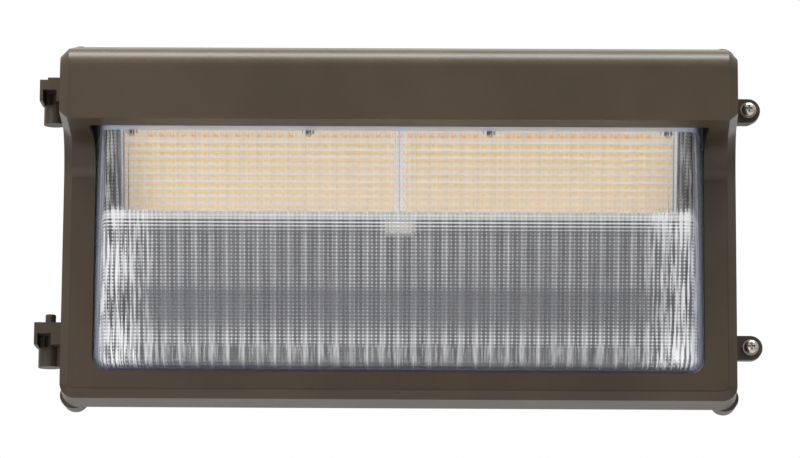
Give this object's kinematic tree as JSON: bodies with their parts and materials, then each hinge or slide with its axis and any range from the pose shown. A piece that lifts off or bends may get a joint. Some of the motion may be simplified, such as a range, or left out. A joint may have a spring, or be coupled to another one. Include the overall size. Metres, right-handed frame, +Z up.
{
  "type": "wall pack light",
  "caption": "Outdoor wall light: shallow cast housing, hinged hooded door with a sloping ribbed lens, LED boards on a folded tray and captive door screws.",
  "frame": {"origin": "middle of the housing's back face, on the wall", "axes": "+X to the viewer's right, -Y out of the wall towards the viewer, +Z up"},
  "size_m": [0.4913, 0.19, 0.2504],
  "materials": {
    "bronze_paint": "semi-gloss fine texture",
    "clear_lens": "ribbed",
    "gasket_rubber": "matt",
    "stainless_steel": "brushed",
    "zinc_plated_steel": "satin",
    "black_steel": "black oxide",
    "tray_aluminium": "satin",
    "white_board": "white solder resist",
    "white_phosphor": "satin",
    "amber_phosphor": "satin",
    "white_nylon": "satin",
    "driver_case_aluminium": "anodised",
    "black_plastic": "satin",
    "black_insulation": "satin",
    "white_insulation": "satin",
    "green_insulation": "satin",
    "red_insulation": "satin",
    "blue_insulation": "satin",
    "orange_nylon": "satin"
  },
  "bodies": {
    "housing": {"rear_housing": "bronze_paint", "upper_hinge_pin": "bronze_paint", "lower_hinge_pin": "bronze_paint", "conduit_plugs": "bronze_paint", "conduit_seals": "gasket_rubber", "door_gasket": "gasket_rubber", "led_tray": "tray_aluminium", "tray_screws": "zinc_plated_steel", "tray_cheeks": "tray_aluminium", "left_led_board": "white_board", "right_led_board": "white_board", "white_led_chips": "white_phosphor", "amber_led_chips": "amber_phosphor", "board_screws": "black_steel", "board_connector": "white_nylon", "driver_case": "driver_case_aluminium", "driver_end_caps": "black_plastic", "driver_screws": "zinc_plated_steel", "line_wire": "black_insulation", "neutral_wire": "white_insulation", "ground_wire": "green_insulation", "dc_positive_wire": "red_insulation", "dc_negative_wire": "blue_insulation", "wire_connectors": "orange_nylon", "ground_screw": "zinc_plated_steel"},
    "door": {"door_frame": "bronze_paint", "lens": "clear_lens", "lens_gasket": "gasket_rubber", "lens_clips": "zinc_plated_steel", "lens_clip_screws": "zinc_plated_steel"},
    "upper_screw": {"upper_screw_washers": "stainless_steel", "upper_captive_screw": "stainless_steel", "upper_retaining_ring": "stainless_steel"},
    "lower_screw": {"lower_screw_washers": "stainless_steel", "lower_captive_screw": "stainless_steel", "lower_retaining_ring": "stainless_steel"}
  },
  "joints": [
    {"name": "door_hinge", "type": "hinge", "parent": "housing", "child": "door", "pos_m": [-0.2375, -0.05, 0], "axis": [0, 0, -1], "range_deg": [0, 110]},
    {"name": "upper_screw_slide", "type": "slide", "parent": "door", "child": "upper_screw", "axis": [0, -1, 0], "range_m": [0, 0.006]},
    {"name": "lower_screw_slide", "type": "slide", "parent": "door", "child": "lower_screw", "axis": [0, -1, 0], "range_m": [0, 0.006]}
  ]
}
